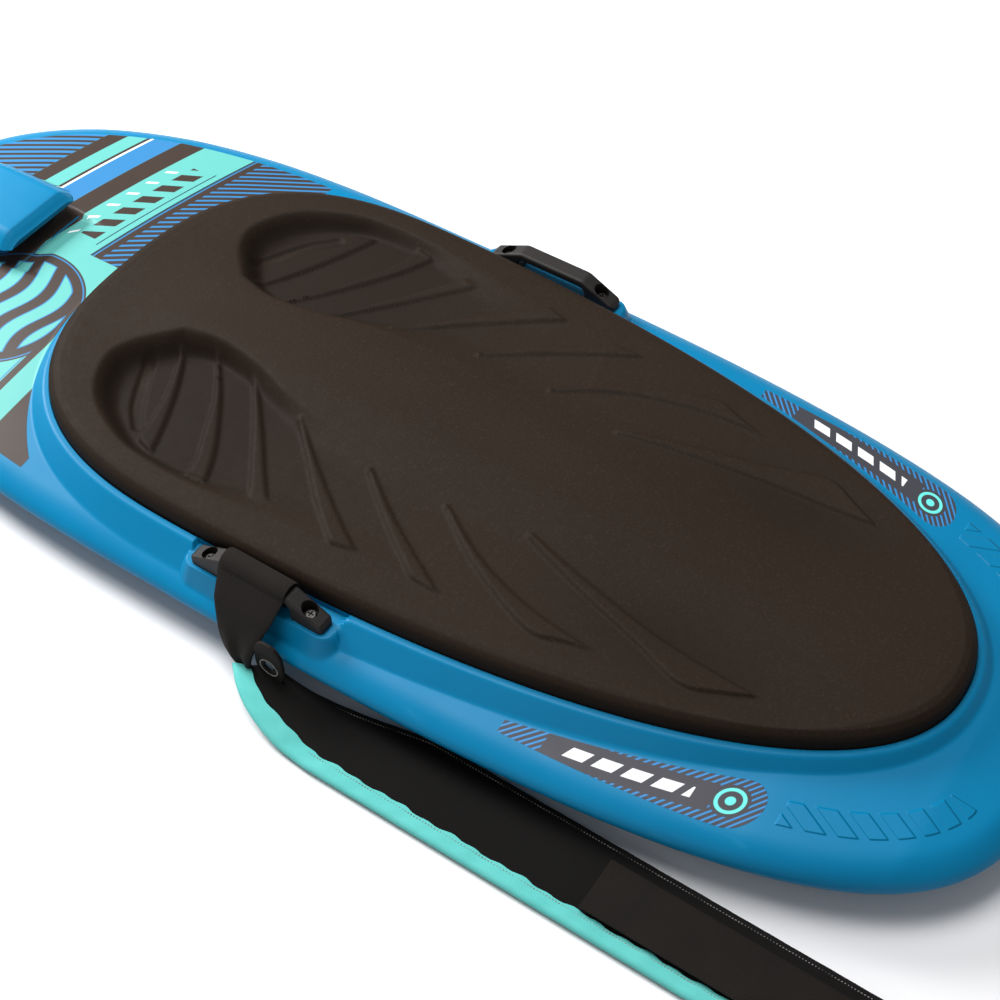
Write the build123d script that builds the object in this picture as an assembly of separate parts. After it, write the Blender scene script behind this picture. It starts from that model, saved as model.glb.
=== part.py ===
from build123d import *
import os
from math import cos, pi, sin

os.makedirs("parts", exist_ok=True)

# A kneeboard: a hollow moulded shell with a foam core, a glued knee pad, two strap brackets and one
# padded strap. Millimetres. The origin is on the flat bottom, at the middle of the board's length.
# +Y points to the nose, +X to the rider's right and +Z up.

# Hull
HULL_FRONT = 520.0           # length ahead of the widest station
HULL_REAR = 800.0            # length behind the widest station
HULL_WIDEST_Y = 140.0
HULL_HALF_WIDTH = 264.0
HULL_FRONT_POWER = 2.4       # roundness of the nose, 2 is an ellipse
HULL_REAR_POWER = 3.3        # the tail is squarer
# height, inset
RAIL = [(0, 44), (4, 40), (22, 13), (27, 6.5), (32, 2.2), (38, 0), (44, 1.6), (49, 5.2), (53, 11), (56, 19)]
RAIL_TOP = 57.0
RAIL_TOP_INSET = 22.0
CROWN_RADIUS = 1690.0
# station, deck height on the centreline, bottom height, half width
FORM = [(-700, 46, 10, 200), (-650, 57, 3, 240), (-590, 66, -3, 270), (-480, 71, -6, 290),
        (-200, 73, -6, 290), (150, 73, -6, 290), (340, 72, -6, 290), (440, 69, -1, 270),
        (540, 62, 9, 220), (620, 53, 20, 170), (700, 42, 33, 100)]
SKIN = 5.0                   # moulded wall

# Knee pad
PAD_FRONT = 252.0
PAD_REAR = 656.0
PAD_WIDEST_Y = 90.0
PAD_HALF_WIDTH = 220.0
PAD_FRONT_POWER = 2.6
PAD_REAR_POWER = 2.2
PAD_BOTTOM = 70.0
PAD_TOP = 96.0
PAD_EDGE = [(70, 0), (82, 0), (89, 2.2), (93.4, 6.5), (95.5, 12.5), (96, 20)]  # height, inset
PAD_CLEARANCE = 0.5
WELL_X = 117.0               # middle of each knee well
WELL_Y = 212.0
WELL_FLOOR = 76.0
WELL_HALF_WIDTH = 62.0
WELL_HALF_LENGTH = 84.0
WELL_FLARE = 16.0            # how much wider the well is at the top

# Plateau round the pad
LEDGE_TOP = 76.0
LEDGE_WIDTH = 7.0
WALL_FOOT = 52.0
WALL_RUN = 22.0

# Strap brackets
BRACKET_X = 233.5
BRACKET_Y = -20.0
BRACKET_BASE = 70.0
BRACKET_TOP = 95.0
BRACKET_WIDTH = 18.0
BRACKET_HALF_LENGTH = 72.0
BRACKET_FLAT_HALF = 36.0
BRACKET_END_TOP = 79.0
BRACKET_SLOT_HALF = 38.0
BRACKET_SLOT_TOP = 86.0
SCREW_HALF_SPACING = 54.5
HEAD_SEAT = 76.0
COUNTERBORE_R = 7.4
SHANK_R = 2.5
SHANK_HOLE_R = 2.8
HEAD_R = 5.5
HEAD_HEIGHT = 3.2
SCREW_END = 59.0
INSERT_R = 4.5
INSERT_DEPTH = 13.0
SEAT_OUT = 248.0             # outer edge of the moulded seat under each bracket
SEAT_HALF_LENGTH = 82.0
POCKET_X = (205, 275)        # room cut back into the ledge for each bracket
POCKET_HALF_LENGTH = 78.0

# Tow hook
HOOK_TOP = 101.0
HOOK_TOP_HALF = 34.0
HOOK_FOOT_HALF = 70.0
HOOK_REAR_Y = 448.0
HOOK_LIP = 85.0
SLOT_MIDDLE_Y = 478.0
SLOT_MIDDLE_Z = 75.0
SLOT_RADIUS = 11.0
SLOT_REAR_Y = 404.0
HOOK_NOSE = [(628, 44), (585, 82), (548, 98), (505, 101)]   # the slope ahead of its flat top
HOOK_CORE_ROOM = ((-100, 100), (395, 505), (56, 120))       # no foam under the slot

# Fill plug
PLUG_Y = -600.0
PLUG_R = 12.0
PLUG_RECESS = 2.0
SEAL_R = 1.6
SEAL_Z = 3.4
PLUG_END_Z = 13.5

# Strap
BAR_Z = 0.5 * (BRACKET_SLOT_TOP + BRACKET_TOP)
LOOP_INNER_R = 9.8
WEBBING = 2.0
WEBBING_HALF_WIDTH = 35.0
STRAP_THICK = 10.0
STRAP_END_Y = -640.0
# edges of the padded strap's bands at its front end, from the outer edge to the inner one
STRAP_LINES = [[(-282, -20), (-311, -61), (-324, -130)], [(-277, -34), (-296, -66), (-309, -130)],
               [(-268, -52), (-266, -95), (-247, -205)], [(-262, -56), (-260, -95), (-241, -205)]]
SKIN_CLOTH = 1.5
# x and z of the webbing drop's outer face, how far its middle is behind the bar's, half width, thickness
STRAP_DROP = [(-262, 72, 2, 29, 3.0), (-275, 45, 6, 20, 5.0), (-284, STRAP_THICK, 14, 13, 8.0)]
PULL_LOOP_PLACE = (-272, -64, 33)
PULL_LOOP_LENGTH = 46.0
PULL_LOOP_WIDTH = 28.0
PULL_LOOP_HALF_THICK = 2.0
PULL_EYE_R = 6.5
PULL_EYE_DROP = 6.0          # the eye is below the loop's middle
FLAP_HALF_WIDTH = 25.0
FLAP_X = -283.0
FLAP_LENGTH = 250.0
PATCH = 1.2


def egg(front, rear, half_width, widest_y, front_power, rear_power, inset, z, steps=5):
    """Closed smooth outline of four mirrored quarters, pulled in square to itself by inset."""
    ahead = Vector(0, 1, 0)
    outward = Vector(1, 0, 0)
    edges = []
    for length, power, end in ((front, front_power, 1), (rear, rear_power, -1)):
        points = []
        for step in range(steps + 1):
            angle = 0.5 * pi * step / steps
            across = cos(angle) ** (2 / power) if step < steps else 0.0
            along = sin(angle) ** (2 / power)
            normal = Vector(across ** (power - 1) / half_width, end * along ** (power - 1) / length)
            point = Vector(half_width * across, widest_y + end * length * along, z)
            points.append(point - normal.normalized() * inset)
        for side in (1, -1):
            quarter = [Vector(side * p.X, p.Y, z) for p in points]
            edges.append(Edge.make_spline(quarter, tangents=[ahead * end, outward * -side]))
    return Wire(edges)


def hull_outline(inset, z):
    return egg(HULL_FRONT, HULL_REAR, HULL_HALF_WIDTH, HULL_WIDEST_Y,
               HULL_FRONT_POWER, HULL_REAR_POWER, inset, z)


def pad_outline(inset, z):
    return egg(PAD_FRONT, PAD_REAR, PAD_HALF_WIDTH, PAD_WIDEST_Y,
               PAD_FRONT_POWER, PAD_REAR_POWER, inset, z)


def prism(outline, low, high):
    """Upright solid over a flat outline."""
    face = Face(outline(low))
    return extrude(face, amount=high - low, dir=(0, 0, 1))


def box(x, y, z):
    """Block between pairs of limits."""
    middle = [0.5 * (a + b) for a, b in (x, y, z)]
    return Pos(*middle) * Box(x[1] - x[0], y[1] - y[0], z[1] - z[0])


def rod(x, y, low, high, radius):
    """Upright round rod."""
    return Pos(x, y, 0.5 * (low + high)) * Cylinder(radius, high - low)


def side_profile(points, half_width, x=0.0):
    """Solid of a side view, given as (y, z) points, with its width along X."""
    outline = Polyline(*[(x - half_width, y, z) for y, z in points], close=True)
    return extrude(Face(Wire(outline.edges())), amount=2 * half_width, dir=(1, 0, 0))


def deck_form(deck_drop, bottom_rise):
    """Wide block with the crowned deck and the bottom's rocker."""
    sections = []
    for y, deck, bottom, half in FORM:
        top = deck - deck_drop
        low = bottom + bottom_rise
        side = top - CROWN_RADIUS + (CROWN_RADIUS ** 2 - half ** 2) ** 0.5
        left = (-half, y, side)
        right = (half, y, side)
        sections.append(Wire([Edge.make_three_point_arc(left, (0, y, top), right),
                              Edge.make_line(right, (half, y, low)),
                              Edge.make_line((half, y, low), (-half, y, low)),
                              Edge.make_line((-half, y, low), left)]))
    return Solid.make_loft(sections, ruled=True)


def board_body(skin, deck_drop):
    """The board without its plateau: rails, crowned deck and rocker."""
    rails = Solid.make_loft([hull_outline(inset + skin, z + skin * (1 - z / 38)) for z, inset in RAIL]
                            + [hull_outline(RAIL_TOP_INSET + skin, RAIL_TOP - 0.5 * skin)], ruled=True)
    upper = extrude(Face(hull_outline(RAIL_TOP_INSET + skin, RAIL_TOP - 0.5 * skin)),
                    amount=40, dir=(0, 0, 1))
    return (rails + upper) & deck_form(deck_drop, skin)


def plateau():
    """Raised step that carries the pad, with sloped walls."""
    return Solid.make_loft([pad_outline(-LEDGE_WIDTH - WALL_RUN, WALL_FOOT),
                            pad_outline(-LEDGE_WIDTH, LEDGE_TOP)], ruled=True)


def bracket_seat(side):
    """Moulded seat under one bracket: a flat shelf with a sloped outer wall."""
    shelf = box((190, SEAT_OUT), (BRACKET_Y - SEAT_HALF_LENGTH, BRACKET_Y + SEAT_HALF_LENGTH),
                (40, BRACKET_BASE))
    shelf = chamfer(shelf.edges().filter_by(Axis.Y).group_by(Axis.X)[-1].sort_by(Axis.Z)[-1], 5)
    shelf = fillet(shelf.edges().filter_by(Axis.Z).group_by(Axis.X)[-1], 12)
    return shelf if side > 0 else mirror(shelf, Plane.YZ)


def bracket_pocket(side):
    """Room for one bracket, cut back into the plateau's ledge."""
    pocket = box(POCKET_X, (BRACKET_Y - POCKET_HALF_LENGTH, BRACKET_Y + POCKET_HALF_LENGTH),
                 (BRACKET_BASE, 110))
    pocket = fillet(pocket.edges().filter_by(Axis.Z), 8)
    return pocket if side > 0 else mirror(pocket, Plane.YZ)


def tow_hook():
    """Moulded hook on the nose: its lip points to the tail, over a slot for a tow handle."""
    side = side_profile(HOOK_NOSE + [(HOOK_REAR_Y + 16, HOOK_TOP), (HOOK_REAR_Y, HOOK_LIP + 5),
                                     (HOOK_REAR_Y, 60), (HOOK_REAR_Y + 22, 44)], 90)
    ends = Polyline((-HOOK_FOOT_HALF, 400, 62), (-HOOK_TOP_HALF, 400, HOOK_TOP),
                    (HOOK_TOP_HALF, 400, HOOK_TOP), (HOOK_FOOT_HALF, 400, 62), (60, 400, 40),
                    (-60, 400, 40), close=True)
    ends = extrude(Face(Wire(ends.edges())), amount=300, dir=(0, 1, 0))
    return side & ends


def hook_slot():
    """The slot under the hook's lip, open to the tail, with a round front end."""
    low = SLOT_MIDDLE_Z - SLOT_RADIUS
    high = SLOT_MIDDLE_Z + SLOT_RADIUS
    mouth = side_profile([(SLOT_MIDDLE_Y, low), (SLOT_MIDDLE_Y, high), (SLOT_REAR_Y, high + 14),
                          (SLOT_REAR_Y, low + 7), (SLOT_REAR_Y + 24, low)], HOOK_FOOT_HALF)
    end = Pos(0, SLOT_MIDDLE_Y, SLOT_MIDDLE_Z) * Rot(0, 90, 0) * Cylinder(SLOT_RADIUS, 2 * HOOK_FOOT_HALF)
    return mouth + end


def foam_core():
    """Foam that fills the shell, with room under the hook's slot and above the fill plug."""
    floor = PAD_BOTTOM - SKIN
    core = board_body(SKIN, SKIN) - box((-300, 300), (-700, 700), (floor, 120))
    core += prism(lambda z: pad_outline(SKIN, z), 40, floor)
    core -= box(*HOOK_CORE_ROOM)
    core -= rod(0, PLUG_Y, 0, 14, PLUG_R + 4)
    return core


def insert_places(side):
    return [(side * BRACKET_X, BRACKET_Y + end * SCREW_HALF_SPACING) for end in (-1, 1)]


def hull_shell(core):
    """Moulded skin with the plateau, bracket seats, tow hook and every hole."""
    shell = board_body(0, 0) + plateau() + bracket_seat(1) + bracket_seat(-1) + tow_hook()
    shell -= prism(lambda z: pad_outline(-PAD_CLEARANCE, z), PAD_BOTTOM, 130)
    shell -= hook_slot()
    for side in (-1, 1):
        shell -= bracket_pocket(side)
        for x, y in insert_places(side):
            shell -= rod(x, y, BRACKET_BASE - INSERT_DEPTH, BRACKET_BASE + 5, INSERT_R)
    shell -= core
    shell -= rod(0, PLUG_Y, -5, PLUG_RECESS + 3, PLUG_R + 0.1)
    shell -= rod(0, PLUG_Y, -5, 14, 0.6 * PLUG_R)
    shell -= Pos(0, PLUG_Y, SEAL_Z) * Torus(PLUG_R + 0.1, SEAL_R)
    return shell


def knee_pad():
    """Foam pad with a rounded rim and two knee wells."""
    pad = Solid.make_loft([pad_outline(inset, z) for z, inset in PAD_EDGE])
    for side in (-1, 1):
        rings = []
        for z, flare in ((WELL_FLOOR, 0), (PAD_TOP + 4, WELL_FLARE)):
            ring = Ellipse(WELL_HALF_WIDTH + flare, WELL_HALF_LENGTH + flare).face().outer_wire()
            rings.append(Pos(side * WELL_X, WELL_Y, z) * ring)
        pad -= Solid.make_loft(rings, ruled=True)
    return pad


def strap_bracket(side):
    """Arched bar on two feet, with a strap slot and two deep screw seats."""
    foot = BRACKET_HALF_LENGTH
    bar = side_profile([(-foot, BRACKET_BASE), (-foot, BRACKET_END_TOP - 3), (-foot + 3, BRACKET_END_TOP),
                        (-BRACKET_FLAT_HALF, BRACKET_TOP), (BRACKET_FLAT_HALF, BRACKET_TOP),
                        (foot - 3, BRACKET_END_TOP), (foot, BRACKET_END_TOP - 3), (foot, BRACKET_BASE)],
                       0.5 * BRACKET_WIDTH)
    slot = box((-20, 20), (-BRACKET_SLOT_HALF, BRACKET_SLOT_HALF), (BRACKET_BASE - 5, BRACKET_SLOT_TOP))
    slot = fillet(slot.edges().filter_by(Axis.X).group_by(Axis.Z)[-1], 5)
    bar = fillet(bar.edges().filter_by(Axis.X).group_by(Axis.Z)[-1], 10)
    bar = fillet(bar.edges().filter_by(Axis.Z), 5)
    bar -= slot
    for height, radius in ((BRACKET_TOP, 2.8), (BRACKET_SLOT_TOP, 2.5)):
        bar = fillet([e for e in bar.edges() if abs(e.center().Z - height) < 0.01
                      and abs(abs(e.center().X) - 0.5 * BRACKET_WIDTH) < 0.1], radius)
    for end in (-1, 1):
        y = end * SCREW_HALF_SPACING
        bar -= rod(0, y, HEAD_SEAT, 110, COUNTERBORE_R)
        bar -= rod(0, y, BRACKET_BASE - 1, HEAD_SEAT + 1, SHANK_HOLE_R)
    return Pos(side * BRACKET_X, BRACKET_Y, 0) * bar


def bracket_screw(x, y):
    """Pan head screw with a cross recess."""
    head = rod(x, y, HEAD_SEAT, HEAD_SEAT + HEAD_HEIGHT, HEAD_R)
    head = fillet(head.edges().group_by(Axis.Z)[-1], 1.6)
    top = HEAD_SEAT + HEAD_HEIGHT
    for turn in (0, 90):
        head -= Pos(x, y, top - 0.8) * Rot(0, 0, turn) * Box(6.0, 1.3, 2.4)
    shank = rod(x, y, SCREW_END, HEAD_SEAT, SHANK_R)
    return head + shank


def threaded_insert(x, y):
    """Brass insert moulded into the shell under a bracket."""
    body = rod(x, y, BRACKET_BASE - INSERT_DEPTH, BRACKET_BASE, INSERT_R)
    return body - rod(x, y, BRACKET_BASE - INSERT_DEPTH + 1.5, BRACKET_BASE + 1, SHANK_R + 0.05)


def fill_plug():
    """Plug in the bottom, recessed so that the board stands clear of it."""
    plug = rod(0, PLUG_Y, PLUG_RECESS, PLUG_RECESS + 3, PLUG_R)
    plug += rod(0, PLUG_Y, PLUG_RECESS + 3, PLUG_END_Z, 0.6 * PLUG_R - 0.1)
    plug -= Pos(0, PLUG_Y, PLUG_RECESS) * Box(12, 2, 2.4)
    return plug - Pos(0, PLUG_Y, SEAL_Z) * Torus(PLUG_R + 0.1, SEAL_R)


def plug_seal():
    """O-ring round the fill plug."""
    return Pos(0, PLUG_Y, SEAL_Z) * Torus(PLUG_R + 0.1, SEAL_R - 0.05)


def strap_line(number, z):
    """One edge of the padded strap's bands, from the front end to the tail end."""
    points = [Vector(x, y, z) for x, y in STRAP_LINES[number]]
    start = points[1] - points[0]
    bend = Edge.make_spline(points, tangents=[start.normalized(), Vector(0, -1, 0)])
    return [bend, Edge.make_line(points[-1], (points[-1].X, STRAP_END_Y, z))]


def strap_layer(first, last, low, high):
    """Solid between two edges of the strap's bands and two heights."""
    outer = strap_line(first, low)
    inner = strap_line(last, low)
    ends = [Edge.make_line(outer[0] @ 0, inner[0] @ 0), Edge.make_line(outer[1] @ 1, inner[1] @ 1)]
    return extrude(Face(Wire(outer + inner + ends)), amount=high - low, dir=(0, 0, 1))


def strap_loop():
    """Webbing round the left bracket's bar, and its drop to the padded strap, where it gathers."""
    outer_r = LOOP_INNER_R + WEBBING
    ring = Cylinder(outer_r, 2 * WEBBING_HALF_WIDTH) - Cylinder(LOOP_INNER_R, 80)
    ring = Pos(-BRACKET_X, BRACKET_Y, BAR_Z) * Rot(90, 0, 0) * ring
    drop = [(-BRACKET_X - outer_r + 0.2, BAR_Z + 2, 0, WEBBING_HALF_WIDTH, WEBBING)] + STRAP_DROP
    sections = []
    for x, z, behind, half, thick in drop:
        y = BRACKET_Y - behind
        sections.append(Wire(Polyline((x, y - half, z), (x, y + half, z), (x + thick, y + half, z),
                                      (x + thick, y - half, z), close=True).edges()))
    return ring + Solid.make_loft(sections, ruled=True)


def pull_loop():
    """Small sewn loop beside the rail, where the webbing gathers."""
    outline = SlotOverall(PULL_LOOP_LENGTH, PULL_LOOP_WIDTH)
    place = Pos(*PULL_LOOP_PLACE) * Rot(0, 90, 0)
    plate = place * extrude(outline, amount=PULL_LOOP_HALF_THICK, both=True)
    return plate - place * Pos(PULL_EYE_DROP, 0, 0) * Cylinder(PULL_EYE_R, 20)


def flap_strip(low, high, front, rear, half_width=FLAP_HALF_WIDTH):
    return box((FLAP_X - half_width, FLAP_X + half_width), (rear, front), (low, high))


def strap_pieces():
    """Padded strap on the ground beside the board, in its sewn layers."""
    return {
        "strap_backing": strap_layer(1, 2, 0, SKIN_CLOTH),
        "strap_foam": strap_layer(1, 2, SKIN_CLOTH, STRAP_THICK - SKIN_CLOTH),
        "strap_facing": strap_layer(1, 2, STRAP_THICK - SKIN_CLOTH, STRAP_THICK),
        "strap_outer_binding": strap_layer(0, 1, 0, STRAP_THICK),
        "strap_inner_binding": strap_layer(2, 3, 0, STRAP_THICK),
    }


def closing_pieces():
    """Sewn webbing end, the folding flap and the two fastener patches between them."""
    top = STRAP_THICK
    fold = STRAP_END_Y
    patch_front = fold + FLAP_LENGTH - 10
    flap_low = top + 2 * PATCH + 0.3
    return {
        "end_webbing": flap_strip(top, top + WEBBING, fold + 60, fold),
        "loop_patch": flap_strip(top, top + PATCH, patch_front, fold + 75, FLAP_HALF_WIDTH - 3),
        "hook_patch": flap_strip(flap_low - PATCH, flap_low, patch_front, fold + 75, FLAP_HALF_WIDTH - 3),
        "closing_flap": flap_strip(flap_low, flap_low + WEBBING, fold + FLAP_LENGTH, fold),
    }


core = foam_core()
nodes = {
    "hull_shell": hull_shell(core),
    "foam_core": core,
    "knee_pad": knee_pad(),
    "fill_plug": fill_plug(),
    "plug_seal": plug_seal(),
    "strap_loop": strap_loop(),
    "pull_loop": pull_loop(),
}
nodes.update(strap_pieces())
nodes.update(closing_pieces())
for side, name in ((-1, "left"), (1, "right")):
    nodes["strap_bracket_" + name] = strap_bracket(side)
    nodes["bracket_screws_" + name] = Compound([bracket_screw(x, y).solid() for x, y in insert_places(side)])
    nodes["bracket_inserts_" + name] = Compound([threaded_insert(x, y).solid()
                                                 for x, y in insert_places(side)])

for name, shape in nodes.items():
    export_step(shape, "parts/" + name + ".step")
    print(name, len(shape.solids()), round(shape.volume))
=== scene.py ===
"""Kneeboard: the visual model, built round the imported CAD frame.

Shapes are worked out in millimetres, in the CAD's own axes, and become metres when
their mesh is made. +Y is the nose, +X the rider's right and +Z up.
"""
import math

import bmesh
import bpy
import numpy as np
from mathutils import Matrix, Vector


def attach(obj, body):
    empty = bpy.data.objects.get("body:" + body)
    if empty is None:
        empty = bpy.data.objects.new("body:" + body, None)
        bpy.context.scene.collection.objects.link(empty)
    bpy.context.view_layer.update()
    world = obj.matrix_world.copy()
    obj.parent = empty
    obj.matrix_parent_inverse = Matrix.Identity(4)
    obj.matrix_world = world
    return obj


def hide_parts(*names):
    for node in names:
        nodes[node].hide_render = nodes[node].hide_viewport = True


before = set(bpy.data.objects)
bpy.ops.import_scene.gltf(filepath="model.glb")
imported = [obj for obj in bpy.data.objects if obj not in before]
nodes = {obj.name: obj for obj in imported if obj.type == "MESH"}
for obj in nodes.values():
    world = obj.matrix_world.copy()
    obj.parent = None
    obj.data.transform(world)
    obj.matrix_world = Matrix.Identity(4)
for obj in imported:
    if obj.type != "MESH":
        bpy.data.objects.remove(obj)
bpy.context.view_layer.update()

MM = 0.001
HALF_PI = math.pi / 2

# Hull outline and heights
HULL = {"half": 264, "front": 520, "rear": 800, "widest": 140, "front_power": 2.4, "rear_power": 3.3}
PAD = {"half": 220, "front": 252, "rear": 656, "widest": 90, "front_power": 2.6, "rear_power": 2.2}
RAIL_Z = 38
RAIL_ROUND = 26
CROWN_RADIUS = 1690
DECK_Y = [-700, -650, -590, -480, -200, 150, 340, 440, 540, 620, 700]
DECK_Z = [46, 57, 66, 71, 73, 73, 72, 69, 62, 53, 42]
BOTTOM_Z = [10, 3, 0, 0, 0, 0, 0, 0, 9, 20, 33]
CHINE_INSET = [0, 2.2, 6.5, 13, 40, 44]
CHINE_Z = [38, 32, 27, 22, 4, 0]
LEDGE_TOP = 76
LEDGE_WIDTH = 7
WALL_SLOPE = 24 / 22
PAD_CLEARANCE = 0.5

# Rounded boxes in the upper surface, as two corners: the bracket's pocket and seat on each side,
# and the slot for a tow handle
POCKET = ((205, -98), (275, 58))
SEAT = ((150, -100), (246, 60))
HANDLE_SLOT = ((-48, 434), (48, 486))
HANDLE_SLOT_Z = 63

# Fill plug's hole, as height and radius of each step
PLUG_Y = -600
PLUG_MOUTH = ((-4, 14.6), (0, 13.2), (0.7, 12.4), (5.2, 12.1), (5.21, 7.4), (14.5, 7.4))

# Tow hook: its ridge, as distance along the board and height, and the round slot under it
HOOK_RIDGE = [(436, 84), (448, 91), (456, 97.5), (464, 100.2), (505, 101), (548, 98), (585, 83),
              (628, 52), (650, 32)]
HOOK_HALF_WIDTH = 84
HOOK_REAR_Y = 448
HOOK_BED_Z = 52
HOOK_SINK = 2.5
HOOK_SLOT_Y = 478
HOOK_SLOT_Z = 75
HOOK_SLOT_R = 11

# Mesh rows and columns
HULL_COLUMNS = 1040
BOTTOM_INSETS = [1, 2.2, 4.2, 6.5, 9.5, 13, 20, 30, 38, 41, 44]
BOTTOM_SHARES = (0.12, 0.3, 0.5, 0.75)
PAD_COLUMNS = 205
PAD_ROWS = 440

# Knee pad
PAD_BOTTOM = 70
PAD_TOP = 96
SPINE_RISE = 6

# Strap brackets
BRACKET_X = 233.5
BRACKET_Y = -20
SHELF_Z = 70
BAR_Z = 90.5

# Strap
WEBBING = 2.0
STRAP_THICK = 10
STRAP_END_Y = -640
FLAP_X = -283
FLAP_HALF_WIDTH = 25
FLAP_LENGTH = 250
PATCH = 1.2
STRAP_LENGTH = 620
STRAP_LIFT = 15
LOOP_MIDDLE_R = 10.8
LOOP_HALF_WIDTH = 35
PULL_LOOP = np.array([-273, -57, 41])
PULL_EYE_R = 6.6
PULL_EYE_DROP = 6


# ---------------------------------------------------------------- shape helpers

def smooth(t):
    """0 to 1 with level ends."""
    t = np.clip(t, 0, 1)
    return t * t * (3 - 2 * t)


def soft_max(a, b, k):
    """The larger of two heights, with a fillet of about k."""
    h = np.clip(0.5 + 0.5 * (a - b) / k, 0, 1)
    return b + (a - b) * h + k * h * (1 - h)


def soft_min(a, b, k):
    return -soft_max(-a, -b, k)


def egg(shape, angles):
    """Points of an egg-shaped outline and its outward normals."""
    across, along = np.cos(angles), np.sin(angles)
    ahead = along >= 0
    power = np.where(ahead, shape["front_power"], shape["rear_power"])
    length = np.where(ahead, shape["front"], shape["rear"])
    ax, ay = np.abs(across) ** (2 / power), np.abs(along) ** (2 / power)
    points = np.stack([shape["half"] * ax * np.sign(across),
                       shape["widest"] + length * ay * np.sign(along)], 1)
    normals = np.stack([ax ** (power - 1) / shape["half"] * np.sign(across),
                        ay ** (power - 1) / length * np.sign(along)], 1)
    return points, normals / np.linalg.norm(normals, axis=1)[:, None]


def even_angles(shape, count, crowding=None):
    """Angles that space an outline's points evenly, or closer where crowding is above 1."""
    fine = np.linspace(0, 2 * math.pi, 24001)
    points, _ = egg(shape, fine)
    steps = np.linalg.norm(np.diff(points, axis=0), axis=1)
    if crowding:
        steps = steps * crowding((points[1:] + points[:-1]) / 2)
    run = np.concatenate([[0], np.cumsum(steps)])
    return np.interp(np.arange(count) / count * run[-1], run, fine)


def inside_by(shape, points, samples=1500):
    """How far each point is inside an outline, negative outside."""
    loop, normals = egg(shape, even_angles(shape, samples))
    result = np.empty(len(points))
    for start in range(0, len(points), 4000):
        part = points[start:start + 4000]
        gap = part[:, None, :] - loop[None, :, :]
        nearest = np.argmin((gap ** 2).sum(2), axis=1)
        rows = np.arange(len(part))
        result[start:start + 4000] = -(gap[rows, nearest] * normals[nearest]).sum(1)
    return result


def to_polyline(points, line):
    """Distance from each point to a polyline."""
    best = np.full(len(points), 1e9)
    for a, b in zip(line[:-1], line[1:]):
        a, b = np.array(a, float), np.array(b, float)
        run = b - a
        t = np.clip((points - a) @ run / (run @ run), 0, 1)
        best = np.minimum(best, np.linalg.norm(points - a - t[:, None] * run, axis=1))
    return best


def within(points, polygon):
    """True for the points inside a polygon."""
    inside = np.zeros(len(points), bool)
    for (x0, y0), (x1, y1) in zip(polygon, polygon[1:] + polygon[:1]):
        if y0 == y1:
            continue
        spans = (points[:, 1] > y0) != (points[:, 1] > y1)
        inside ^= spans & (points[:, 0] < x0 + (x1 - x0) * (points[:, 1] - y0) / (y1 - y0))
    return inside


def curve(points, count):
    """A smooth line through a few points, by Catmull-Rom."""
    p = np.array(points, float)
    p = np.vstack([2 * p[0] - p[1], p, 2 * p[-1] - p[-2]])
    t = np.linspace(0, len(p) - 3 - 1e-9, count)
    i = t.astype(int)
    f = (t - i)[:, None]
    a, b, c, d = p[i], p[i + 1], p[i + 2], p[i + 3]
    square = 2 * a - 5 * b + 4 * c - d
    cube = 3 * b - a - 3 * c + d
    return 0.5 * (2 * b + (c - a) * f + square * f ** 2 + cube * f ** 3)


def make(name, points, faces, material, body, smooth_angle=40):
    """A mesh object from points in millimetres, riding on a body."""
    mesh = bpy.data.meshes.new(name)
    mesh.from_pydata((np.asarray(points, float) * MM).tolist(), [], faces)
    mesh.validate()
    obj = bpy.data.objects.new(name, mesh)
    bpy.context.scene.collection.objects.link(obj)
    mesh.shade_smooth()
    if smooth_angle:
        mesh.set_sharp_from_angle(angle=math.radians(smooth_angle))
    mesh.materials.append(material)
    if body:
        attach(obj, body)
    return obj


def ring_faces(rows, count, start=0):
    """Quads between closed rings of count points each."""
    faces = []
    for r in range(rows - 1):
        a = start + r * count
        for i in range(count):
            j = (i + 1) % count
            faces.append((a + i, a + j, a + count + j, a + count + i))
    return faces


def tube(sections):
    """Points and faces of a closed body through equal-length loops, capped at both ends."""
    sections = [np.asarray(s, float) for s in sections]
    count = len(sections[0])
    points = np.vstack(sections)
    faces = ring_faces(len(sections), count)
    last = (len(sections) - 1) * count
    faces.append(tuple(reversed(range(count))))
    faces.append(tuple(range(last, last + count)))
    return points, faces


def outward(obj):
    """Turns a closed mesh's faces outwards."""
    bm = bmesh.new()
    bm.from_mesh(obj.data)
    bmesh.ops.recalc_face_normals(bm, faces=bm.faces)
    bm.to_mesh(obj.data)
    bm.free()


def cut(obj, cutter):
    """Takes the cutter's shape out of a mesh."""
    outward(cutter)
    modifier = obj.modifiers.new("cut", "BOOLEAN")
    modifier.operation, modifier.solver, modifier.object = "DIFFERENCE", "EXACT", cutter
    bpy.context.view_layer.update()
    finished = obj.evaluated_get(bpy.context.evaluated_depsgraph_get())
    result = bpy.data.meshes.new_from_object(finished)
    obj.modifiers.clear()
    obj.data = result
    bpy.data.objects.remove(cutter)


# ---------------------------------------------------------------- materials

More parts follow.
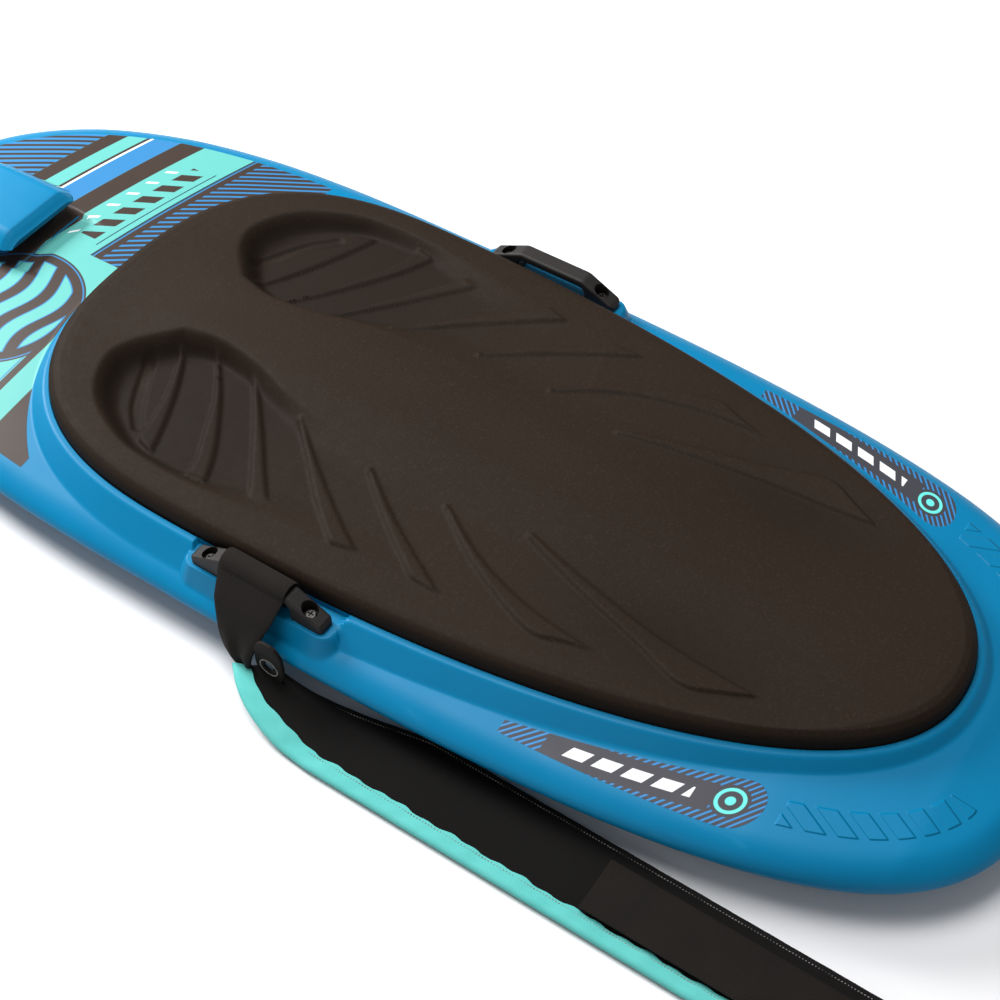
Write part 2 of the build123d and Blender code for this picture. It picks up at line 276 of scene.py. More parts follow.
class Field:
    """A value in a material's node tree, with arithmetic."""

    def __init__(self, tree, value):
        self.tree, self.value = tree, value

    def math(self, kind, *others):
        node = self.tree.nodes.new("ShaderNodeMath")
        node.operation = kind
        for slot, item in enumerate((self, *others)):
            item = item.value if isinstance(item, Field) else item
            if isinstance(item, (int, float)):
                node.inputs[slot].default_value = item
            else:
                self.tree.links.new(item, node.inputs[slot])
        return Field(self.tree, node.outputs[0])

    def __add__(self, other):
        return self.math("ADD", other)

    def __sub__(self, other):
        return self.math("SUBTRACT", other)

    def __mul__(self, other):
        return self.math("MULTIPLY", other)

    def __truediv__(self, other):
        return self.math("DIVIDE", other)

    def least(self, other):
        return self.math("MINIMUM", other)

    def most(self, other):
        return self.math("MAXIMUM", other)

    def size(self):
        return self.math("ABSOLUTE")

    def sin(self):
        return self.math("SINE")

    def part(self, period):
        """The remainder after dividing by the period, never negative."""
        return self.math("FLOORED_MODULO", period)

    def above(self, edge, soft=0.4):
        """1 where the value is above the edge, with a soft step."""
        node = self.tree.nodes.new("ShaderNodeMapRange")
        node.interpolation_type = "SMOOTHSTEP"
        self.tree.links.new(self.value, node.inputs["Value"])
        node.inputs["From Min"].default_value = edge - soft
        node.inputs["From Max"].default_value = edge + soft
        return Field(self.tree, node.outputs[0])

    def below(self, edge, soft=0.4):
        return self.above(edge, soft) * -1 + 1

    def between(self, low, high, soft=0.4):
        return self.above(low, soft) * self.below(high, soft)

    def length(self, other):
        return (self * self + other * other).math("SQRT")


class Surface:
    """A Principled material with helpers for its procedural detail."""

    def __init__(self, name, roughness, **sockets):
        self.material = bpy.data.materials.new(name)
        self.material.use_nodes = True
        self.tree = self.material.node_tree
        self.shader = self.tree.nodes["Principled BSDF"]
        self.shader.inputs["Roughness"].default_value = roughness
        for key, value in sockets.items():
            self.shader.inputs[key.replace("_", " ")].default_value = value
        self.place = self.tree.nodes.new("ShaderNodeTexCoord").outputs["Object"]
        self.normal = None

    def axes(self):
        """x, y and z in millimetres."""
        split = self.tree.nodes.new("ShaderNodeSeparateXYZ")
        self.tree.links.new(self.place, split.inputs[0])
        return [Field(self.tree, split.outputs[i]) * 1000 for i in range(3)]

    def stored(self, name):
        """A number kept on the mesh, such as the distance inside an outline."""
        node = self.tree.nodes.new("ShaderNodeAttribute")
        node.attribute_name = name
        return Field(self.tree, node.outputs["Fac"])

    def noise(self, scale, detail=3, stretch=(1, 1, 1)):
        mapping = self.tree.nodes.new("ShaderNodeMapping")
        mapping.inputs["Scale"].default_value = stretch
        self.tree.links.new(self.place, mapping.inputs["Vector"])
        node = self.tree.nodes.new("ShaderNodeTexNoise")
        node.inputs["Scale"].default_value = scale
        node.inputs["Detail"].default_value = detail
        self.tree.links.new(mapping.outputs[0], node.inputs["Vector"])
        return Field(self.tree, node.outputs[0])

    def mix(self, amount, first, second):
        """A colour between two, each a colour or the output of another mix."""
        node = self.tree.nodes.new("ShaderNodeMix")
        node.data_type = "RGBA"
        self.tree.links.new(amount.value, node.inputs["Factor"])
        for slot, item in ((6, first), (7, second)):
            if isinstance(item, tuple):
                node.inputs[slot].default_value = item
            else:
                self.tree.links.new(item, node.inputs[slot])
        return node.outputs[2]

    def colour(self, output):
        self.tree.links.new(output, self.shader.inputs["Base Color"])

    def rough(self, low, high, amount):
        value = amount * (high - low) + low
        self.tree.links.new(value.value, self.shader.inputs["Roughness"])

    def bump(self, height, distance, strength=1.0):
        """Adds relief; distance in millimetres."""
        node = self.tree.nodes.new("ShaderNodeBump")
        node.inputs["Strength"].default_value = strength
        node.inputs["Distance"].default_value = distance * MM
        self.tree.links.new(height.value, node.inputs["Height"])
        if self.normal:
            self.tree.links.new(self.normal, node.inputs["Normal"])
        self.normal = node.outputs[0]
        self.tree.links.new(self.normal, self.shader.inputs["Normal"])


def rgb(red, green, blue):
    """A colour from its screen values, 0 to 255."""
    def linear(value):
        share = value / 255
        return share / 12.92 if value < 10 else ((share + 0.055) / 1.055) ** 2.4
    return linear(red), linear(green), linear(blue), 1.0


SHELL_BLUE = rgb(0, 112, 154)
SHELL_DEEP = rgb(0, 101, 142)
TEAL = rgb(86, 160, 154)
INK = rgb(54, 44, 39)
MID_BLUE = rgb(46, 110, 158)
WHITE = rgb(215, 218, 220)
NAVY = rgb(24, 42, 62)
LABEL_GREY = rgb(58, 58, 64)
LABEL_BLUE = rgb(44, 120, 178)
LABEL_TEAL = rgb(96, 205, 196)
# Front and rear edge and colour of each printed band across the deck
NOSE_BAND = 549
BANDS = ((NOSE_BAND, 640, MID_BLUE), (530, 549, INK), (511, 530, TEAL), (507, 511, INK), (504, 507, WHITE),
         (476, 504, MID_BLUE), (450, 476, INK))
EMBLEM_X = -92
EMBLEM_Y = 416
SIDE_FIELD_X = -60       # the left part of the deck, beside the emblem


def cloud(surface, dark, light, scale=9):
    """Gentle colour variation, the least any surface gets."""
    return surface.mix(surface.noise(scale, 4), dark, light)


def deck_graphics(surface, x, y, base):
    """Printed front deck: bands, a hatched band and a plain round wave emblem."""
    wall = surface.stored("wall")
    rail = surface.stored("rail")
    sweep = y + x.size() * 0.15
    hatch = (x * 0.9 + y * 0.5).part(9).above(4.5)
    paint = surface.mix(hatch * sweep.above(NOSE_BAND), TEAL, INK)
    for low, high, shade in BANDS:
        cover = sweep.between(low, high)
        if low == NOSE_BAND:
            cover = cover * (hatch * -1 + 1)
        paint = surface.mix(cover, paint, shade)
    # A row of slanted marks and a fine rule along the teal field
    marks = (x + sweep * 0.6).part(26).above(12) * sweep.between(409, 428) * x.between(26, 176)
    paint = surface.mix(marks, paint, INK)
    slats = (x + sweep * 0.6).part(26).between(2, 6) * sweep.between(434, 444) * x.between(10, 176)
    paint = surface.mix(slats, paint, WHITE)
    paint = surface.mix(sweep.between(400, 401.4) * x.between(20, 180), paint, NAVY)
    # The dark hatched band that hugs the pad, edged with a thin blue line
    collar = sweep.below(391) * x.above(5)
    paint = surface.mix(collar, paint, INK)
    strokes = (x + y * 0.7).part(9).above(5.5) * sweep.below(381) * wall.above(9)
    paint = surface.mix(collar * strokes, paint, MID_BLUE)
    paint = surface.mix(sweep.between(388.5, 390.2) * x.above(5), paint, MID_BLUE)
    paint = surface.mix(sweep.between(391, 393) * x.above(5), paint, NAVY)
    # Round emblem: waves inside a ring
    ex, ey = x - EMBLEM_X, y - EMBLEM_Y
    radius = ex.length(ey)
    paint = surface.mix(radius.below(79), paint, INK)
    paint = surface.mix(radius.between(75.5, 77), paint, MID_BLUE)
    wave = (ey + (ex / 17).sin() * 7 + 200).part(31)
    disc = radius.below(66)
    paint = surface.mix(wave.between(0.8, 19) * disc, paint, MID_BLUE)
    paint = surface.mix(wave.between(2.2, 17.6) * disc * radius.below(64.6), paint, TEAL)
    lower = y.below(349) * x.below(SIDE_FIELD_X)
    paint = surface.mix(lower, paint, INK)
    rule = y.between(350, 351.4) * x.below(SIDE_FIELD_X) * radius.above(79)
    paint = surface.mix(rule, paint, MID_BLUE)
    paint = surface.mix(y.between(316, 341) * x.below(SIDE_FIELD_X), paint, TEAL)
    panel = wall.above(8.5) * rail.above(24) * y.above(262, 1) * (y + wall * 3.2).above(376, 1)
    return surface.mix(panel, base, paint), panel


def side_label(surface, y, base):
    """Dark striped capsule on each rail, with a plain ring at its rear end."""
    rail = surface.stored("rail")
    back = (y * -1 - 262) / 205
    middle = back * 13 + 30
    reach = back.least(1) * 18 + 6
    overrun = (y * -1 - 455).most(0)
    lateral = (rail - middle).length(overrun)
    capsule = (lateral - reach).below(0) * y.between(-482, -262)
    stripes = (y + rail * 0.9).part(6.5).above(4.1)
    paint = surface.mix(stripes, LABEL_GREY, LABEL_BLUE)
    plain = y.between(-440, -300) * (rail - middle).size().below(13)
    paint = surface.mix(plain, paint, LABEL_GREY)
    slant = (y + rail * 0.5 + 1000).part(24).above(7)
    dashes = slant * (rail - middle).size().below(5) * y.between(-424, -318)
    paint = surface.mix(dashes, paint, WHITE)
    hoop = (y + 453).length(rail - 43)
    paint = surface.mix(hoop.below(15), paint, LABEL_GREY)
    paint = surface.mix(hoop.between(9, 12), paint, LABEL_TEAL)
    paint = surface.mix(hoop.below(4), paint, LABEL_TEAL)
    return surface.mix(capsule, base, paint), capsule


def shell_material():
    """Hull plastic with its printed deck and labels, and plain lozenges moulded behind each label."""
    s = Surface("hull_plastic", 0.42, Specular_IOR_Level=0.13)
    x, y, z = s.axes()
    base = cloud(s, SHELL_DEEP, SHELL_BLUE)
    base = s.mix(s.noise(60, 5, (1, 0.15, 1)).above(0.68, 0.05) * 0.06, base, rgb(90, 175, 215))
    painted, panel = deck_graphics(s, x, y, base)
    painted, capsule = side_label(s, y, painted)
    top = z.above(45, 1)
    s.colour(s.mix(top, base, painted))
    s.rough(0.34, 0.5, s.noise(30, 4))
    s.bump(s.noise(900, 2), 0.12, 0.35)
    s.bump(panel.most(capsule) * top, 0.15, 0.6)
    rail = s.stored("rail")
    lozenge = (x.size() + y * 0.5 + 1000).part(22).between(3, 17, 1)
    row = rail.between(34, 56, 1) * y.between(-618, -492, 1) * x.size().above(84)
    s.bump(lozenge * row, 1.2, 1.0)
    return s.material


def foam_material():
    """Moulded EVA: brown-black, with a fine leathery skin."""
    s = Surface("pad_foam", 0.66, Specular_IOR_Level=0.07)
    z = s.axes()[2]
    base = cloud(s, rgb(29, 22, 15), rgb(36, 27, 20), 7)
    base = s.mix(s.noise(420, 2).above(0.62, 0.1) * 0.3, base, rgb(54, 42, 33))
    # Painted shade: the wells' floors, between about 75 and 90 mm high, are mixed towards a darker brown
    s.colour(s.mix(z.below(90, 6) * z.above(75, 1) * 0.7, base, rgb(22, 16, 11)))
    s.rough(0.58, 0.74, s.noise(90, 4))
    s.bump(s.noise(1500, 3), 0.18, 0.4)
    s.bump(s.noise(240, 4), 0.12, 0.3)
    return s.material


def core_material():
    """Pale pour-in foam."""
    s = Surface("core_foam", 0.9)
    base = cloud(s, rgb(206, 196, 168), rgb(222, 214, 190))
    s.colour(base)
    s.bump(s.noise(700, 4), 0.4, 0.6)
    return s.material


def weave_material(name, dark, light, pitch):
    """Cloth: crossing threads at a pitch in millimetres."""
    s = Surface(name, 0.8, Specular_IOR_Level=0.1, Sheen_Weight=0.02)
    x, y, z = s.axes()
    turn = 2 * math.pi / pitch
    weft = (y * turn).sin()
    warp = ((x + z) * turn).sin()
    height = weft * 0.5 + warp * weft * 0.35 + 0.5
    base = s.mix(s.noise(14, 4), dark, light)
    # Painted highlight: the raised crowns of the threads are mixed towards the lighter colour
    s.colour(s.mix(height.above(0.55, 0.5) * 0.5, base, light))
    s.bump(height, 0.25, 0.8)
    s.bump(s.noise(1800, 2), 0.1, 0.4)
    return s.material


def ribbed_material(name, dark, light, pitch, relief):
    """Webbing: ribs across its length, on a tape that runs up and down or along the board."""
    s = Surface(name, 0.72, Specular_IOR_Level=0.12, Sheen_Weight=0.02)
    run = s.stored("run")
    side = s.stored("side")
    ribs = (run * (2 * math.pi / pitch)).sin() * 0.5 + 0.5
    threads = (side * (2 * math.pi / 0.9) + run * 1.4).sin() * 0.5 + 0.5
    base = s.mix(s.noise(25, 4), dark, light)
    # Painted highlight: where ribs and threads stand highest the colour turns lighter
    s.colour(s.mix(ribs * threads * 0.7, base, light))
    s.bump(ribs, relief, 0.9)
    s.bump(threads, 0.12, 0.6)
    return s.material


def plastic_material(name, dark, light, roughness=0.58):
    """Moulded nylon with a fine spark-eroded grain."""
    s = Surface(name, roughness, Specular_IOR_Level=0.3)
    s.colour(cloud(s, dark, light, 30))
    s.rough(roughness - 0.08, roughness + 0.1, s.noise(90, 4))
    s.bump(s.noise(2200, 3), 0.08, 0.5)
    return s.material


def metal_material(name, light=rgb(92, 90, 88)):
    """Turned metal, lightly mottled."""
    s = Surface(name, 0.3, Metallic=1.0)
    s.colour(cloud(s, rgb(52, 50, 48), light, 200))
    s.rough(0.26, 0.42, s.noise(500, 4))
    s.bump(s.noise(2600, 2), 0.03, 0.4)
    return s.material


def pile_material(name, shade, tuft):
    """Hook or loop tape: a fuzz of small tufts."""
    s = Surface(name, 0.95, Specular_IOR_Level=0.1, Sheen_Weight=0.04)
    cells = s.tree.nodes.new("ShaderNodeTexVoronoi")
    cells.inputs["Scale"].default_value = tuft
    s.tree.links.new(s.place, cells.inputs["Vector"])
    gap = Field(s.tree, cells.outputs["Distance"])
    # Painted shade: the hollows between tufts are mixed towards near-black
    s.colour(s.mix(gap, shade, rgb(8, 7, 7)))
    s.bump(gap * -1, 0.5, 0.9)
    return s.material


SHELL = shell_material()
PAD_FOAM = foam_material()
CORE = core_material()
BLACK_WEB = ribbed_material("black_webbing", rgb(5, 4, 3), rgb(24, 18, 14), 1.6, 0.3)
TEAL_TAPE = ribbed_material("teal_binding", rgb(68, 158, 154), rgb(96, 182, 176), 1.1, 0.12)
BLACK_TAPE = ribbed_material("black_binding", rgb(4, 3, 3), rgb(14, 12, 11), 1.1, 0.12)
FACING = weave_material("strap_facing_cloth", rgb(4, 3, 2), rgb(12, 10, 9), 1.3)
BACKING = weave_material("strap_backing_cloth", rgb(6, 6, 7), rgb(22, 22, 24), 0.9)
NYLON = plastic_material("bracket_nylon", rgb(16, 13, 12), rgb(30, 25, 23))
PLUG_PLASTIC = plastic_material("plug_nylon", rgb(24, 24, 25), rgb(38, 38, 40), 0.4)
RUBBER = plastic_material("seal_rubber", rgb(18, 18, 18), rgb(30, 30, 30), 0.6)
STEEL = metal_material("stainless_screw")
BRASS = metal_material("brass_insert", rgb(190, 160, 96))
THREAD = plastic_material("stitch_thread", rgb(120, 118, 116), rgb(160, 157, 152), 0.7)
LOOP_PILE = pile_material("loop_pile", rgb(38, 35, 34), 900)
HOOK_PILE = pile_material("hook_pile", rgb(30, 28, 28), 700)


# ---------------------------------------------------------------- hull

def deck_height(x, y, rail):
    """Crowned deck, rounded down to the rail."""
    crown = np.interp(y, DECK_Y, DECK_Z) - x ** 2 / (2 * CROWN_RADIUS)
    t = np.clip(rail / RAIL_ROUND, 0, 1)
    return RAIL_Z + (crown - RAIL_Z) * np.sqrt(1 - (1 - t) ** 2)


def box_distance(x, y, low, high, radius):
    """Signed distance to a rounded rectangle, negative inside."""
    cx, cy = (low[0] + high[0]) / 2, (low[1] + high[1]) / 2
    qx = np.abs(x - cx) - (high[0] - low[0]) / 2 + radius
    qy = np.abs(y - cy) - (high[1] - low[1]) / 2 + radius
    out = np.hypot(np.maximum(qx, 0), np.maximum(qy, 0))
    return out + np.minimum(np.maximum(qx, qy), 0) - radius


def top_height(x, y, rail, wall):
    """The whole upper surface: deck, wall round the pad, bracket seats and the hook's handle slot."""
    low = deck_height(x, y, rail)
    side = LEDGE_TOP - WALL_SLOPE * (wall - LEDGE_WIDTH)
    ring = soft_min(np.full_like(side, float(LEDGE_TOP)), side, 2.0)
    z = soft_max(low, ring, 1.5)
    pocket = box_distance(np.abs(x), y, *POCKET, 8)
    z = np.minimum(z, SHELF_Z + 2.2 * np.maximum(pocket, 0))
    seat = box_distance(np.abs(x), y, *SEAT, 12)
    z = np.maximum(z, SHELF_Z - 2.4 * np.maximum(seat, 0))
    z = np.maximum(z, low)
    slot = box_distance(x, y, *HANDLE_SLOT, 10)
    return np.minimum(z, soft_max(low - 8, HANDLE_SLOT_Z + 1.5 * np.maximum(slot, 0), 2))


def hull():
    """Moulded shell: upper surface, rail, bottom, and the recess under the pad."""
    def crowding(points):
        """Closer columns beside the brackets."""
        return 1 + 3.2 * np.exp(-(np.abs(points[:, 1] - BRACKET_Y) / 95) ** 8)

    count = HULL_COLUMNS
    rim, rim_normal = egg(HULL, even_angles(HULL, count, crowding))
    centre = np.array([0.0, PAD["widest"]])
    fine = egg(PAD, np.linspace(0, 2 * math.pi, 20001)[:-1])[0]
    bearing = np.arctan2(*(fine - centre).T[::-1])
    order = np.argsort(bearing)
    wanted = np.arctan2(*(rim - centre).T[::-1])
    foot = np.stack([np.interp(wanted, bearing[order], fine[order, i], period=2 * math.pi)
                     for i in (0, 1)], 1)
    run = rim - foot
    width = np.linalg.norm(run, axis=1)[:, None]
    unit = run / width
    near = np.minimum(31, 0.58 * width)
    far = np.minimum(RAIL_ROUND, 0.32 * width)
    offsets = [near * t for t in np.linspace(0, 1, 23)[1:]]
    offsets += [near + (width - near - far) * t for t in np.linspace(0, 1, 16)[1:]]
    offsets += [width - far * (1 - math.sin(t * HALF_PI)) for t in np.linspace(0, 1, 16)[1:]]
    rings = []
    for inward in (60, 8, 0):
        rings.append((foot + unit * (PAD_CLEARANCE - inward), SHELF_Z))
    rings.append((foot + unit * (PAD_CLEARANCE + 0.05), LEDGE_TOP - 0.8))
    rings.append((foot + unit * (PAD_CLEARANCE + 0.9), LEDGE_TOP))
    rows = [np.column_stack([flat, np.full(count, float(z))]) for flat, z in rings]
    top = np.vstack([foot + unit * offset for offset in offsets])
    rail = np.maximum(inside_by(HULL, top), 0)
    wall = np.maximum(-inside_by(PAD, top), 0)
    heights = top_height(top[:, 0], top[:, 1], rail, wall)
    heights[-count:] = RAIL_Z
    rows += list(np.column_stack([top, heights]).reshape(-1, count, 3))
    for inset in BOTTOM_INSETS:
        flat = rim - rim_normal * inset
        bottom_z = np.interp(flat[:, 1], DECK_Y, BOTTOM_Z)
        chine = np.full(count, np.interp(inset, CHINE_INSET, CHINE_Z))
        rows.append(np.column_stack([flat, np.clip(soft_max(chine, bottom_z, 1.2), 0, RAIL_Z)]))
    for t in BOTTOM_SHARES:
        flat = (rim - rim_normal * BOTTOM_INSETS[-1]) * (1 - t) + centre * t
        rows.append(np.column_stack([flat, np.maximum(np.interp(flat[:, 1], DECK_Y, BOTTOM_Z), 0)]))
    points = np.vstack(rows)
    faces = ring_faces(len(rows), count)
    points = np.vstack([points, [[*centre, SHELF_Z], [*centre, 0]]])
    last = (len(rows) - 1) * count
    total = len(rows) * count
    faces += [(total, (i + 1) % count, i) for i in range(count)]
    faces += [(total + 1, last + i, last + (i + 1) % count) for i in range(count)]
    obj = make("hull_visual", points, faces, SHELL, None, 50)
    outward(obj)
    cut(obj, plug_mouth())
    flat = np.array([v.co[:2] for v in obj.data.vertices]) / MM
    store(obj, rail=inside_by(HULL, flat), wall=-inside_by(PAD, flat))
    join_hook(obj)
    outward(obj)
    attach(obj, "board")
    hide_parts("hull_shell")


def plug_mouth():
    """The stepped hole in the bottom that the fill plug sits in, with a rounded lip."""
    sections = []
    for height, radius in PLUG_MOUTH:
        sections.append([(radius * math.cos(a), PLUG_Y + radius * math.sin(a), height)
                         for a in np.linspace(0, 2 * math.pi, 65)[:-1]])
    return make("cutter", *tube(sections), SHELL, None)


def store(obj, **values):
    """Keeps numbers on a mesh's points, for its material."""
    for name, numbers in values.items():
        field = obj.data.attributes.new(name, "FLOAT", "POINT")
        field.data.foreach_set("value", np.asarray(numbers, np.float32))


def hook_height(x, y):
    """Tow hook: a hump with a sheer lip at its rear, fading into the deck on each side."""
    ridge = curve(HOOK_RIDGE, 240)
    top = np.interp(y, ridge[:, 0], ridge[:, 1])
    flank = smooth((80 - np.abs(x)) / 48)
    deck = deck_height(x, y, np.maximum(inside_by(HULL, np.column_stack([x, y])), 0))
    sunk = deck - HOOK_SINK
    return sunk + (np.maximum(top, sunk) - sunk) * flank


def join_hook(hull_obj):
    """Adds the hook, a closed body sunk in the deck, with its handle slot cut away."""
    xs = np.linspace(-HOOK_HALF_WIDTH, HOOK_HALF_WIDTH, 113)
    ys = np.concatenate([[HOOK_REAR_Y - 0.1], np.linspace(HOOK_REAR_Y, 470, 18), np.linspace(472, 630, 80)])
    gx, gy = np.meshgrid(xs, ys)
    z = hook_height(gx.ravel(), gy.ravel())
    upper = np.column_stack([gx.ravel(), gy.ravel(), z])
    lower = upper.copy()
    lower[:, 2] = np.minimum(HOOK_BED_Z, z - 3)
    points = np.vstack([upper, lower])
    columns, n = len(xs), len(upper)
    faces = []
    for r in range(len(ys) - 1):
        for c in range(columns - 1):
            a = r * columns + c
            faces.append((a, a + 1, a + columns + 1, a + columns))
            faces.append((n + a + columns, n + a + columns + 1, n + a + 1, n + a))
    edge = list(range(columns)) + [r * columns + columns - 1 for r in range(1, len(ys))]
    edge += list(range(n - 2, n - columns - 1, -1)) + [r * columns for r in range(len(ys) - 2, 0, -1)]
    for a, b in zip(edge, edge[1:] + edge[:1]):
        faces.append((b, a, n + a, n + b))
    hook = make("hook", points, faces, SHELL, None, 50)
    outward(hook)
    arc = [math.radians(a) for a in range(-90, 91, 9)]
    profile = [(HOOK_SLOT_Y + HOOK_SLOT_R * math.cos(a), HOOK_SLOT_Z + HOOK_SLOT_R * math.sin(a))
               for a in arc]
    profile += [(404, HOOK_SLOT_Z + HOOK_SLOT_R), (404, HOOK_SLOT_Z - HOOK_SLOT_R)]
    cutter_points, cutter_faces = tube([[(side, y, height) for y, height in profile] for side in (-95, 95)])
    cutter = make("cutter", cutter_points, cutter_faces, SHELL, None)
    cut(hook, cutter)
    flat = np.array([v.co[:2] for v in hook.data.vertices]) / MM
    printed = np.where(np.abs(flat[:, 0]) > 66, 200.0, 0.0)
    store(hook, rail=np.full(len(flat), 60.0), wall=printed)
    both = [hull_obj, hook]
    with bpy.context.temp_override(active_object=hull_obj, selected_editable_objects=both):
        bpy.ops.object.join()


# ---------------------------------------------------------------- knee pad

SPINE_EDGE = [(42, 222), (35, 182), (42, 130), (55, 86), (62, 37), (66, -40), (62, -110), (54, -150)]
RIM_EDGE = [(175, -120), (174, -69), (177, -30), (180, 5), (184, 34), (189, 89), (190, 131), (186, 174),
            (175, 206), (158, 236), (133, 256), (103, 265), (75, 254), (42, 222)]
# Front edge, rear edge, rise, and whether it lies on a well's floor
RIBS = [([(70, 248), (103, 233), (136, 214), (160, 190)],
         [(66, 237), (99, 218), (129, 200), (154, 179)], -3.0, True),
        ([(40, 232), (75, 210), (111, 193), (142, 183), (167, 177)],
         [(38, 224), (80, 196), (113, 178), (146, 163), (175, 152)], 4.0, True),
        ([(40, 189), (88, 152), (127, 131), (160, 114), (182, 110)],
         [(40, 182), (86, 142), (138, 105), (178, 85)], 4.0, True),
        ([(51, 136), (87, 106), (134, 70), (177, 38)],
         [(47, 130), (94, 86), (142, 44), (174, 14)], 4.0, True),
        ([(73, 65), (105, 30), (142, -9), (176, -51)],
         [(67, 61), (104, 15), (143, -38), (169, -78)], 4.1, False),
        ([(88, -25), (127, -72), (168, -130)],
         [(82, -29), (122, -86), (169, -166)], 3.9, False),
        ([(86, -107), (120, -155), (143, -200), (159, -245), (151, -275), (143, -305)],
         [(80, -110), (114, -168), (135, -232), (143, -305)], 3.7, False),
        ([(75, -186), (96, -246), (117, -322), (133, -372), (121, -405), (106, -436)],
         [(68, -189), (82, -246), (98, -334), (106, -436)], 3.7, False)]
# How far a rib takes to rise from its front edge and from its rear edge
RIB_FRONT = 3.0
RIB_BACK = 3.6
# The troughs that the ribs lie in, along the board: how wide their side slopes are, and their floor
SLOPE_Y = [-150, 20, 90, 170, 230]
SLOPE_RUN = [44, 36, 17, 15, 24]
TROUGH_Y = [-190, -130, -70, -30, 30, 80, 130, 180, 222, 262]
TROUGH_Z = [96.5, 95, 94, 92.5, 90, 86.5, 83.5, 80, 77.5, 76.5]
PAD_EDGE_INSET = [0, 0.6, 2.2, 6.5, 12.5, 20]
PAD_EDGE_Z = [82, 85.6, 89, 93.4, 95.5, 96]


def pad_height(x, y, inset):
    """Upper surface of the pad at points of either side."""
    x = np.abs(x)
    points = np.column_stack([x, y])
    spine = SPINE_RISE * smooth((95 - x) / 75) * smooth((y + 420) / 260) * smooth((330 - y) / 120)
    bowl = 7 * np.exp(-((x - 92) / 52) ** 2 - ((y + 372) / 105) ** 2)
    z = PAD_TOP + spine - bowl
    inner_edge, outer_edge = curve(SPINE_EDGE, 60), curve(RIM_EDGE, 90)
    depth = np.minimum(to_polyline(points, inner_edge), to_polyline(points, outer_edge))
    inside = within(points, [tuple(p) for p in np.vstack([inner_edge, outer_edge])])
    slope = np.interp(y, SLOPE_Y, SLOPE_RUN)
    sunk = np.where(inside, smooth((depth / slope) ** 0.85), 0) * smooth((y + 190) / 110)
    settled = np.where(inside, smooth((depth / slope - 0.4) / 0.35), 0)
    trough = np.interp(y, TROUGH_Y, TROUGH_Z)
    z = z * (1 - sunk) + trough * sunk
    for front, rear, rise, in_well in RIBS:
        front_line, rear_line = curve(front, 24), curve(rear, 24)
        shape = [tuple(p) for p in np.vstack([front_line, rear_line[::-1]])]
        inner = within(points, shape)
        ahead, behind = to_polyline(points, front_line), to_polyline(points, rear_line)
        end = to_polyline(points, np.vstack([front_line[-1], rear_line[-1] - 1e-3]))
        blade = smooth(np.minimum(ahead, end) / RIB_FRONT) * smooth(behind / RIB_BACK)
        blade *= 0.8 + 0.2 * behind / (ahead + behind + 1e-6)
        if in_well:
            blade *= settled
        z = z + np.where(inner, rise * blade, 0)
    # Past the edge roll the limit climbs out of the way
    limit = np.interp(inset, PAD_EDGE_INSET, PAD_EDGE_Z) + 40 * smooth((inset - PAD_EDGE_INSET[-1]) / 5)
    return soft_min(z, limit, 0.5)


def knee_pad():
    """Moulded foam pad with knee wells, fanned ribs and a raised spine."""
    columns, rows = PAD_COLUMNS, PAD_ROWS
    ends = 0.004
    side = egg(PAD, np.linspace(-HALF_PI + ends, HALF_PI - ends, 6001))[0]
    run = np.concatenate([[0], np.cumsum(np.linalg.norm(np.diff(side, axis=0), axis=1))])
    side = side[np.searchsorted(run, np.linspace(0, run[-1], rows) - 1e-6)]
    t = np.linspace(-1, 1, columns)
    spread = 0.72 * t + 0.28 * np.sin(HALF_PI * t)
    x = (side[:, 0][:, None] * spread).ravel()
    y = np.repeat(side[:, 1], columns)
    inset = np.maximum(inside_by(PAD, np.column_stack([x, y])), 0)
    top = np.column_stack([x, y, pad_height(x, y, inset)])
    edge = list(range(columns)) + [r * columns + columns - 1 for r in range(1, rows)]
    edge += [(rows - 1) * columns + c for c in range(columns - 2, -1, -1)]
    edge += [r * columns for r in range(rows - 2, 0, -1)]
    faces = []
    for r in range(rows - 1):
        for c in range(columns - 1):
            a = r * columns + c
            faces.append((a, a + 1, a + columns + 1, a + columns))
    points = [top]
    previous = edge
    total = len(top)
    for z in (79, 74, PAD_BOTTOM + 0.6):
        level = top[edge].copy()
        level[:, 2] = z
        points.append(level)
        current = list(range(total, total + len(edge)))
        total += len(edge)
        for i in range(len(edge)):
            j = (i + 1) % len(edge)
            faces.append((previous[j], previous[i], current[i], current[j]))
        previous = current
    faces.append(tuple(reversed(previous)))
    obj = make("knee_pad_visual", np.vstack(points), faces, PAD_FOAM, "board", 60)
    outward(obj)
    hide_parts("knee_pad")


# ---------------------------------------------------------------- strap

OUTER_LINE = [(-282, -20), (-298, -38), (-311, -61), (-320, -92), (-324, -130)]
OUTER_SEAM = [(-277, -34), (-287, -48), (-296, -66), (-304, -95), (-309, -130)]
INNER_SEAM = [(-268, -52), (-268, -72), (-266, -95), (-258, -150), (-247, -205)]
INNER_LINE = [(-262, -56), (-262, -74), (-260, -95), (-252, -150), (-241, -205)]


def strap_run(line, count=150):
    """A strap line's points, evenly along the board from its start to the fold."""
    bend = curve(line, 60)
    along = np.linspace(bend[-1, 1], STRAP_END_Y, 61)[1:]
    straight = np.column_stack([np.full(len(along), bend[-1, 0]), along])
    whole = np.vstack([bend, straight])
    run = np.concatenate([[0], np.cumsum(np.linalg.norm(np.diff(whole, axis=0), axis=1))])
    wanted = np.linspace(0, run[-1], count)
    return np.column_stack([np.interp(wanted, run, whole[:, i]) for i in (0, 1)])


def lift(y):
    """How far the webbing holds the front of the strap off the ground."""
    return STRAP_LIFT * float(smooth((y + 120) / 95))


